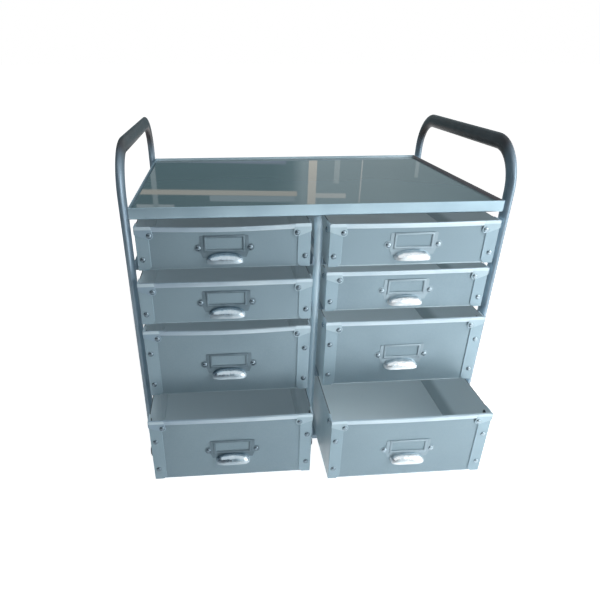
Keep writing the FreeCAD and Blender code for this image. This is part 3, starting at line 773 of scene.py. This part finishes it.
def add_cup(mesh, middle, face, foot):
    """Quarter of a rounded bowl, open below, with its inside."""
    shells = []
    for thinner in (0.0, PLATE_SHEET):
        half, rise = CUP_WIDE / 2 - thinner, CUP_RISE - thinner
        grid = []
        for step in range(CUP_COLUMNS + 1):
            across = -math.cos(math.pi * step / CUP_COLUMNS)
            arched = max(0.0, 1 - abs(across) ** CUP_ARCH) ** (1 / CUP_ARCH)
            blunt = max(0.0, 1 - abs(across) ** CUP_BLUNT) ** (1 / CUP_BLUNT)
            column = []
            for turn_step in range(CUP_TURNS + 1):
                turn = math.pi / 2 * turn_step / CUP_TURNS
                column.append(mesh.verts.new((middle + half * across,
                                              face - rise * blunt * math.sin(turn),
                                              foot + rise * arched * math.cos(turn))))
            grid.append(column)
        shells.append(grid)
    for number, grid in enumerate(shells):
        for near, far in zip(grid, grid[1:]):
            for i in range(CUP_TURNS):
                corners = (near[i], far[i], far[i + 1], near[i + 1])
                mesh.faces.new(corners if number == 0 else corners[::-1])
    outer, inner = shells
    for edge in (0, CUP_TURNS):
        for i in range(CUP_COLUMNS):
            mesh.faces.new((outer[i][edge], outer[i + 1][edge],
                            inner[i + 1][edge], inner[i][edge]))
    bmesh.ops.remove_doubles(mesh, verts=mesh.verts, dist=CUP_MERGE)


dull_plate, bright_plate = dull_plating(), bright_plating()
for drawer in DRAWERS:
    node = f"{drawer}_label_pull"
    low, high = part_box(node)
    middle = (low.x + high.x) / 2
    face = high.y
    mesh = bmesh.new()
    half = [(middle + across, high.z - down) for across, down in plate_outline()]
    other = [(middle - across, high.z - down) for across, down in reversed(plate_outline())]
    window = [(middle + across, high.z - down) for across, down in (
        (WINDOW_WIDE / 2, WINDOW_DROP), (WINDOW_WIDE / 2, WINDOW_DROP + WINDOW_HIGH),
        (-WINDOW_WIDE / 2, WINDOW_DROP + WINDOW_HIGH), (-WINDOW_WIDE / 2, WINDOW_DROP))]
    edges = []
    for path in (half + other, window):
        corners = [mesh.verts.new((x, face - PLATE_SHEET, z)) for x, z in path]
        edges += [mesh.edges.new((corners[i - 1], corners[i])) for i in range(len(corners))]
    filled = bmesh.ops.triangle_fill(mesh, edges=edges, use_beauty=True)
    plate_faces = [item for item in filled["geom"] if isinstance(item, bmesh.types.BMFace)]
    grown = bmesh.ops.extrude_face_region(mesh, geom=plate_faces)
    moved = [item for item in grown["geom"] if isinstance(item, bmesh.types.BMVert)]
    bmesh.ops.translate(mesh, verts=moved, vec=(0, PLATE_SHEET * PLATE_BACK, 0))
    channel_path = [(middle + way * (WINDOW_WIDE / 2 + CHANNEL_HALF), high.z - CHANNEL_DROPS[end])
                    for way, end in ((1, 0), (1, 1), (-1, 1), (-1, 0))]
    add_channel(mesh, channel_path, face - PLATE_SHEET)
    make_piece(f"{drawer}_label_holder", mesh, dull_plate, f"{drawer}_drawer",
               [node], 45)
    mesh = bmesh.new()
    add_cup(mesh, middle, face, low.z)
    make_piece(f"{drawer}_finger_cup", mesh, bright_plate, f"{drawer}_drawer",
               [node], 50)

# Rivets: nickel-plated round heads 8 mm across at every corner, lap and
# holder ear, clinched inside the drawer over small black washers.
RIVET_PROFILE = [(1, 0), (1, 0.16), (0.95, 0.36), (0.83, 0.58), (0.65, 0.78), (0.42, 0.93),
                 (0.18, 0.99)]
RIVET_SIDES = 24
RIVET_RADIUS = 4 * mm
RIVET_RISE = 2.3 * mm
WASHER_RADIUS = 5 * mm
WASHER_RISE = 0.9 * mm
LAP_STUD_IN = 7.4 * mm
SMALL_STUD_DROPS = (47 * mm,)
TALL_STUD_DROPS = (38 * mm, 92 * mm)
TALL_FROM = 90 * mm


def nickel_head():
    """Bright nickel with small knocks."""
    finish, tree, shader = new_finish("nickel_head", {"Metallic": 0.85})
    colour = between(tree, grain(tree, 300, 3), srgb(104, 121, 132), srgb(140, 157, 167))
    # Painted light: the rivet heads are paler towards the right.
    colour = mixed(tree, spread(tree, along(tree, "X"), 0, 0.7, *LIT_RIGHT_X), colour,
                   srgb(176, 194, 204))
    tree.links.new(colour, shader.inputs["Base Color"])
    tree.links.new(spread(tree, grain(tree, 500, 2), 0.2, 0.3), shader.inputs["Roughness"])
    relief(tree, shader, grain(tree, 700, 2), 0.00012, 0.5)
    return finish


def black_washer():
    """Black lacquered steel, a little dusty."""
    finish, tree, shader = new_finish("black_washer", {"Specular IOR Level": 0.4})
    colour = between(tree, grain(tree, 400, 3), srgb(22, 24, 28), srgb(52, 56, 62))
    tree.links.new(colour, shader.inputs["Base Color"])
    tree.links.new(spread(tree, grain(tree, 300, 2), 0.35, 0.6), shader.inputs["Roughness"])
    return finish


def add_button(mesh, foot, outward, radius, rise):
    """Round button on a surface, standing out along one direction."""
    turn_to = Vector((0, 0, 1)).rotation_difference(outward)
    rings = []
    for radius_share, rise_share in RIVET_PROFILE:
        ring = []
        for side in range(RIVET_SIDES):
            turn = 2 * math.pi * side / RIVET_SIDES
            point = Vector((radius * radius_share * math.cos(turn),
                            radius * radius_share * math.sin(turn), rise * rise_share))
            point.rotate(turn_to)
            ring.append(foot + point)
        rings.append(ring)
    skin_rings(mesh, rings)


nickel, washer_black = nickel_head(), black_washer()
for drawer in DRAWERS:
    tray_low, tray_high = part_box(f"{drawer}_drawer_tray")
    holder_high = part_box(f"{drawer}_label_pull")[1]
    lap_face = tray_low.y
    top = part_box(f"{drawer}_edge_trim")[1].z
    lap_drops = TALL_STUD_DROPS if tray_high.z - tray_low.z > TALL_FROM else SMALL_STUD_DROPS
    sides = ((tray_low.x, 1), (tray_high.x, -1))
    front_studs = [((tray_low.x + tray_high.x) / 2 + way * EAR_SPREAD / 2,
                    holder_high.y - PLATE_SHEET, holder_high.z - EAR_DROP) for way in (-1, 1)]
    for edge, inward in sides:
        front_studs.append((edge + inward * CAP_STUD_IN, lap_face - TRIM_SHEET,
                            top - CAP_STUD_DROP))
        front_studs += [(edge + inward * LAP_STUD_IN, lap_face, top - drop)
                        for drop in lap_drops]
    heads, washers = bmesh.new(), bmesh.new()
    for x, y, z in front_studs:
        add_button(heads, Vector((x, y, z)), Vector((0, -1, 0)), RIVET_RADIUS, RIVET_RISE)
        add_button(washers, Vector((x, lap_face + 2 * BOARD, z)), Vector((0, 1, 0)),
                   WASHER_RADIUS, WASHER_RISE)
    for edge, inward in sides:
        y, z = lap_face + CAP_STUD_IN, top - CAP_STUD_DROP
        add_button(heads, Vector((edge - inward * TRIM_SHEET, y, z)), Vector((-inward, 0, 0)),
                   RIVET_RADIUS, RIVET_RISE)
        add_button(washers, Vector((edge + inward * BOARD, y, z)), Vector((inward, 0, 0)),
                   WASHER_RADIUS, WASHER_RISE)
    make_piece(f"{drawer}_rivet_heads", heads, nickel, f"{drawer}_drawer",
               [f"{drawer}_studs"], 50)
    make_piece(f"{drawer}_clinch_washers", washers, washer_black, f"{drawer}_drawer", (), 50)

# Floor: a plain pale sheet under the cabinet, not part of the object. It is
# white to the eye and keeps the soft shadow; mirrored, its left is dimmer.
FLOOR_SIZE = 40
FLOOR_BELOW = 0.3 * mm
FLOOR_GLOW = 0.74
WHITE_FROM, WHITE_AT = 0.5, 1.1  # how far from the cabinet the floor turns white
DIM_LEFT, BRIGHT_RIGHT = 0.12, 0.92
DIM_TO_BRIGHT_X = (-0.4, 0.25)


def larger(tree, first, second):
    """The larger of two values."""
    most = tree.nodes.new("ShaderNodeMath")
    most.operation = "MAXIMUM"
    tree.links.new(first, most.inputs[0])
    tree.links.new(second, most.inputs[1])
    return most.outputs["Value"]


def bare_finish(name):
    """Material and its tree, with nothing in it but an output."""
    finish = bpy.data.materials.new(name)
    finish.use_nodes = True
    tree = finish.node_tree
    tree.nodes.clear()
    return finish, tree, tree.nodes.new("ShaderNodeOutputMaterial")


def stage_sheet(name, corners, finish):
    """Flat sheet of the stage."""
    mesh = bmesh.new()
    mesh.faces.new([mesh.verts.new(corner) for corner in corners])
    data = bpy.data.meshes.new(name)
    mesh.to_mesh(data)
    mesh.free()
    data.materials.append(finish)
    sheet = bpy.data.objects.new(name, data)
    bpy.context.scene.collection.objects.link(sheet)
    return sheet


pale_floor, floor_tree, output = bare_finish("pale_floor")
paper = floor_tree.nodes.new("ShaderNodeBsdfDiffuse")
paper.inputs["Color"].default_value = (0.82, 0.83, 0.84, 1)
rays = floor_tree.nodes.new("ShaderNodeLightPath")
mirrored = product(floor_tree, rays.outputs["Is Glossy Ray"],
                   spread(floor_tree, along(floor_tree, "X"), DIM_LEFT, BRIGHT_RIGHT,
                          *DIM_TO_BRIGHT_X))
seen = larger(floor_tree, larger(floor_tree, rays.outputs["Is Camera Ray"], mirrored),
              rays.outputs["Is Transmission Ray"])
floor_place = floor_tree.nodes.new("ShaderNodeTexCoord")
away = floor_tree.nodes.new("ShaderNodeVectorMath")
away.operation = "LENGTH"
floor_tree.links.new(floor_place.outputs["Object"], away.inputs[0])
whiter = spread(floor_tree, away.outputs["Value"], FLOOR_GLOW, 1, WHITE_FROM, WHITE_AT)
glow = floor_tree.nodes.new("ShaderNodeEmission")
floor_tree.links.new(product(floor_tree, seen, whiter), glow.inputs["Strength"])
both = floor_tree.nodes.new("ShaderNodeAddShader")
floor_tree.links.new(paper.outputs["BSDF"], both.inputs[0])
floor_tree.links.new(glow.outputs["Emission"], both.inputs[1])
floor_tree.links.new(both.outputs["Shader"], output.inputs["Surface"])
floor = stage_sheet("floor", [(x * FLOOR_SIZE, y * FLOOR_SIZE, 0)
                              for x, y in ((-1, -1), (1, -1), (1, 1), (-1, 1))], pale_floor)
floor.location.z = -FLOOR_BELOW

# Light: a pale room, a lamp at the right front like a window, and fills that
# no metal mirrors: two from the right, one from above and one from the left.
ROOM_LIGHT = 0.1
FILL_SIZE = 0.8
world = bpy.data.worlds.new("pale_room")
bpy.context.scene.world = world
world.use_nodes = True
sky = world.node_tree
background = sky.nodes["Background"]
background.inputs["Color"].default_value = (1, 1, 1, 1)
rays = sky.nodes.new("ShaderNodeLightPath")
seen = larger(sky, larger(sky, rays.outputs["Is Camera Ray"], rays.outputs["Is Glossy Ray"]),
              rays.outputs["Is Transmission Ray"])
level = sky.nodes.new("ShaderNodeMapRange")
level.inputs["To Min"].default_value = ROOM_LIGHT
level.inputs["To Max"].default_value = 1
sky.links.new(seen, level.inputs["Value"])
sky.links.new(level.outputs["Result"], background.inputs["Strength"])


def soft_lamp(name, place, aim, size, power, colour):
    """Square lamp that faces a point."""
    data = bpy.data.lights.new(name, "AREA")
    data.size = size
    data.energy = power
    data.color = colour
    lamp = bpy.data.objects.new(name, data)
    bpy.context.scene.collection.objects.link(lamp)
    lamp.location = place
    lamp.rotation_mode = "QUATERNION"
    lamp.rotation_quaternion = (Vector(aim) - Vector(place)).to_track_quat("-Z", "Y")
    return lamp


soft_lamp("window_lamp", (0.75, -0.7, 0.6), (0.05, -0.1, 0.2), 0.75, 3.8, (1, 1, 1))
for name, place, power, casts_shadow in (("right_fill", (0.95, -0.75, 0.7), 4, True),
                                         ("low_fill", (0.55, -0.6, 0.45), 2.8, False),
                                         ("top_fill", (0.5, -0.5, 1.15), 3.2, False),
                                         ("side_fill", (-1.6, -0.35, 0.95), 9, False)):
    fill = soft_lamp(name, place, (0, -0.1, 0.2), FILL_SIZE, power, (0.97, 0.99, 1))
    fill.data.use_shadow = casts_shadow
    fill.visible_glossy = False

# Grey cards round the cabinet, seen only in what shines: they stand for the
# dim room, so that glass, tube and plated metal are not all white.
BAND_SLOPE = 0.03
BACK, FRONT, LEFT, RIGHT, CEILING = 1, -1.9, -1.3, 1.6, 1.6


def grey_card(name, corners, shades, bands=()):
    """Card whose shade changes along X, with plain bands of (X, Z, colour) on it."""
    finish, tree, output = bare_finish(name)
    first, last = shades[0][0], shades[-1][0]
    across = tree.nodes.new("ShaderNodeMapRange")
    across.inputs["From Min"].default_value = first
    across.inputs["From Max"].default_value = last
    tree.links.new(along(tree, "X"), across.inputs["Value"])
    ramp = tree.nodes.new("ShaderNodeValToRGB")
    while len(ramp.color_ramp.elements) < len(shades):
        ramp.color_ramp.elements.new(0.5)
    for element, (place, colour) in zip(ramp.color_ramp.elements, shades):
        element.position = (place - first) / (last - first)
        element.color = srgb(*colour)
    tree.links.new(across.outputs["Result"], ramp.inputs["Fac"])
    shade = ramp.outputs["Color"]
    sloping = tree.nodes.new("ShaderNodeMath")
    sloping.operation = "MULTIPLY_ADD"
    tree.links.new(along(tree, "X"), sloping.inputs[0])
    sloping.inputs[1].default_value = -BAND_SLOPE
    tree.links.new(along(tree, "Z"), sloping.inputs[2])
    for (left, right), (low, high), colour in bands:
        shade = mixed(tree, product(tree, lies_between(tree, "X", left, right),
                                    lies_between(tree, sloping.outputs["Value"], low, high)),
                      shade, srgb(*colour))
    light = tree.nodes.new("ShaderNodeEmission")
    tree.links.new(shade, light.inputs["Color"])
    tree.links.new(light.outputs["Emission"], output.inputs["Surface"])
    card = stage_sheet(name, corners, finish)
    card.visible_camera = card.visible_diffuse = card.visible_shadow = False
    card.visible_transmission = card.visible_volume_scatter = False


grey_card("back_card",
          [(-RIGHT, BACK, 0.3), (RIGHT, BACK, 0.3), (RIGHT, BACK, CEILING),
           (-RIGHT, BACK, CEILING)],
          [(-0.6, (94, 124, 132)), (0.04, (104, 134, 142)), (0.11, (124, 152, 160)),
           (0.15, (174, 196, 203)), (0.45, (170, 190, 196)), (0.9, (126, 148, 156))],
          [((-0.37, 0.09), (0.55, 0.562), (150, 166, 186)),
           ((-0.176, 0.124), (0.67, 0.690), (172, 192, 201)),
           ((-0.43, -0.3), (0.703, 0.715), (196, 212, 218)),
           ((-0.372, -0.354), (0.3, 1.6), (166, 186, 192)),
           ((0.168, 0.197), (0.3, 1.6), (250, 248, 238)),
           ((-0.42, 0.13), (0.652, 0.669), (222, 219, 208)),
           ((0.197, 0.305), (0.658, 0.674), (236, 242, 240)),
           ((0.258, 0.277), (0.3, 0.624), (206, 222, 226)),
           ((0.353, 0.357), (0.3, 0.69), (236, 242, 242)),
           ((0.545, 0.558), (0.3, 0.6), (196, 212, 216))])
grey_card("left_card",
          [(LEFT, BACK, 0), (LEFT, FRONT, 0), (LEFT, FRONT, CEILING), (LEFT, BACK, CEILING)],
          [(-2, (62, 74, 84)), (2, (62, 74, 84))])
grey_card("top_card",
          [(LEFT, -0.35, CEILING), (-LEFT, -0.35, CEILING), (-LEFT, BACK, CEILING),
           (LEFT, BACK, CEILING)],
          [(-2, (168, 186, 196)), (2, (168, 186, 196))])
grey_card("front_card",
          [(LEFT, FRONT, 0), (RIGHT, FRONT, 0), (RIGHT, FRONT, CEILING), (LEFT, FRONT, CEILING)],
          [(-0.7, (38, 48, 58)), (-0.2, (58, 72, 82)), (0.22, (222, 236, 240)),
           (0.9, (250, 252, 252))])

# Camera: a hand-held view from the front, 30 degrees down and a little from
# the left, as the photograph was taken.
camera_data = bpy.data.cameras.new("camera")
camera = bpy.data.objects.new("camera", camera_data)
bpy.context.scene.collection.objects.link(camera)
camera_data.sensor_width = 36
camera_data.lens = 31.375
camera_data.shift_x = 0.0594
camera_data.shift_y = 0.0885
camera.location = (-0.13815, -0.72143 + tray_front, 0.60751)
camera.rotation_euler = (math.radians(60.31), 0, math.radians(-4.71))
bpy.context.scene.camera = camera
bpy.context.scene.view_settings.view_transform = "Standard"
